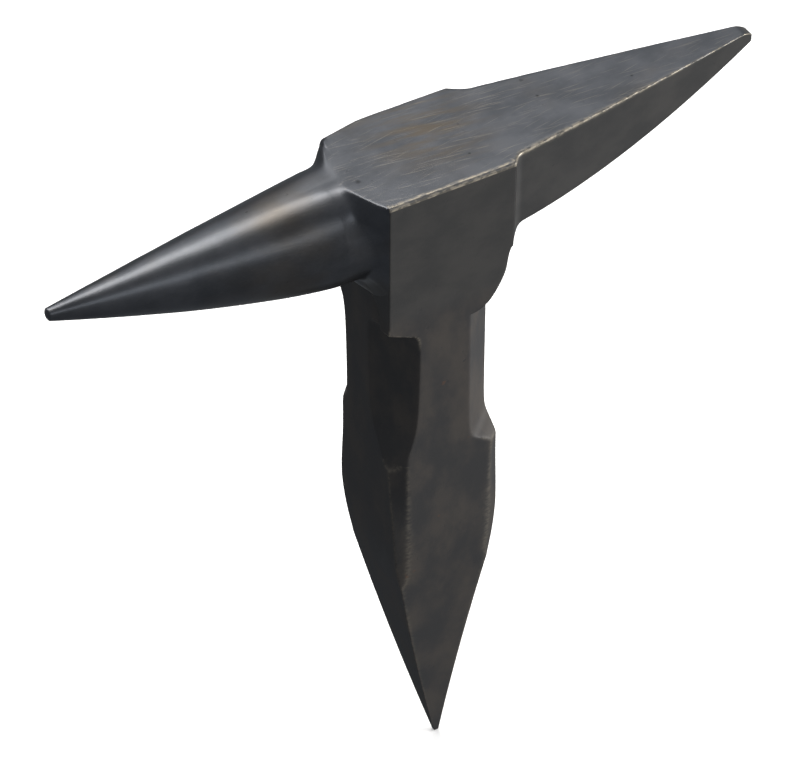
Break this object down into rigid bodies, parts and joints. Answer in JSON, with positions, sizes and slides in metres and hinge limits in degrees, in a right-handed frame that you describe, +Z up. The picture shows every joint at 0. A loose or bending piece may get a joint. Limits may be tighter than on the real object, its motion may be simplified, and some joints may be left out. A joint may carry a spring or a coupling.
{
  "type": "t-stake",
  "caption": "T-shaped bench stake: a flat table between a round and a square tapered horn, on a waisted neck and a pointed square spike, for bending and shaping metal.",
  "frame": {"origin": "centre of the seat, the square section in which the neck ends and the spike begins", "axes": "+Z up, square to the table; +X along the square horn, -X along the round horn; +Y across the horns, away from the side that the picture shows"},
  "size_m": [0.2898, 0.05, 0.317],
  "materials": {
    "ground_steel": "dressed and worn, semi-satin, with bright edges",
    "black_steel": "as forged, dark scale with rust brown patches"
  },
  "bodies": {
    "root": {"round_horn": "ground_steel", "head": "ground_steel", "square_horn": "ground_steel", "neck": "black_steel", "spike": "black_steel"}
  },
  "joints": []
}
